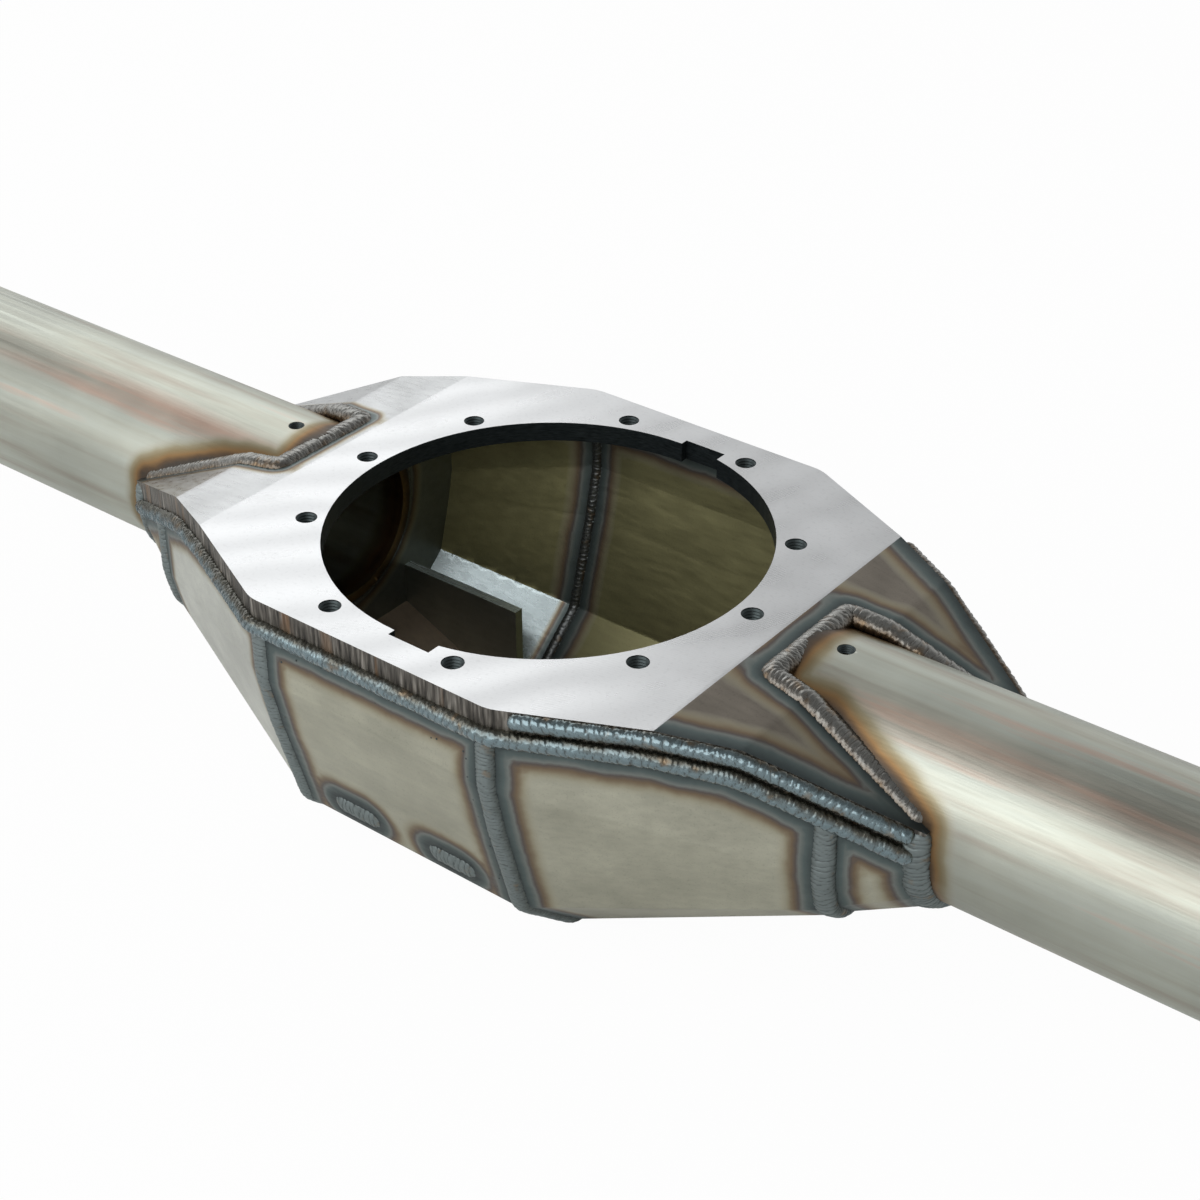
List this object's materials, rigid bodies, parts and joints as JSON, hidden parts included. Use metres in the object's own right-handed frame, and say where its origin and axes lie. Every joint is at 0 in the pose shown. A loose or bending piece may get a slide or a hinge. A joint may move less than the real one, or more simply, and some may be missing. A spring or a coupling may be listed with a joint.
{
  "type": "axle housing",
  "caption": "Welded plate axle housing: a machined face plate with a round carrier opening on a folded steel shell, with an axle tube welded into each tapered end.",
  "frame": {"origin": "centre of the carrier opening on the machined face", "axes": "+X along the axle tubes towards the right end, +Y to the far side, +Z out of the machined face"},
  "size_m": [1.4, 0.322, 0.196],
  "materials": {
    "machined_plate": "machined top, flame-cut edges",
    "shell_plate": "plain mill plate with heat tint beside the welds",
    "tube_steel": "satin drawn tube with heat tint beside the welds",
    "inner_plate": "plain mill plate",
    "weld_bead": "rippled weld metal with blue-grey oxide"
  },
  "bodies": {
    "root": {"face_plate": "machined_plate", "centre_shell": "shell_plate", "left_shell": "shell_plate", "right_shell": "shell_plate", "left_tube": "tube_steel", "right_tube": "tube_steel", "left_bulkhead": "inner_plate", "right_bulkhead": "inner_plate", "left_far_gusset": "inner_plate", "left_near_gusset": "inner_plate", "right_far_gusset": "inner_plate", "right_near_gusset": "inner_plate", "left_far_filler": "shell_plate", "left_near_filler": "shell_plate", "right_far_filler": "shell_plate", "right_near_filler": "shell_plate", "far_root_weld": "weld_bead", "near_root_weld": "weld_bead", "far_edge_weld": "weld_bead", "near_edge_weld": "weld_bead", "left_seam_weld": "weld_bead", "right_seam_weld": "weld_bead", "left_inner_weld": "weld_bead", "right_inner_weld": "weld_bead", "left_notch_weld": "weld_bead", "right_notch_weld": "weld_bead", "left_far_end_weld": "weld_bead", "left_near_end_weld": "weld_bead", "right_far_end_weld": "weld_bead", "right_near_end_weld": "weld_bead", "left_far_collar_weld": "weld_bead", "left_near_collar_weld": "weld_bead", "right_far_collar_weld": "weld_bead", "right_near_collar_weld": "weld_bead", "left_ring_weld": "weld_bead", "right_ring_weld": "weld_bead", "slot_welds": "weld_bead"}
  },
  "joints": []
}
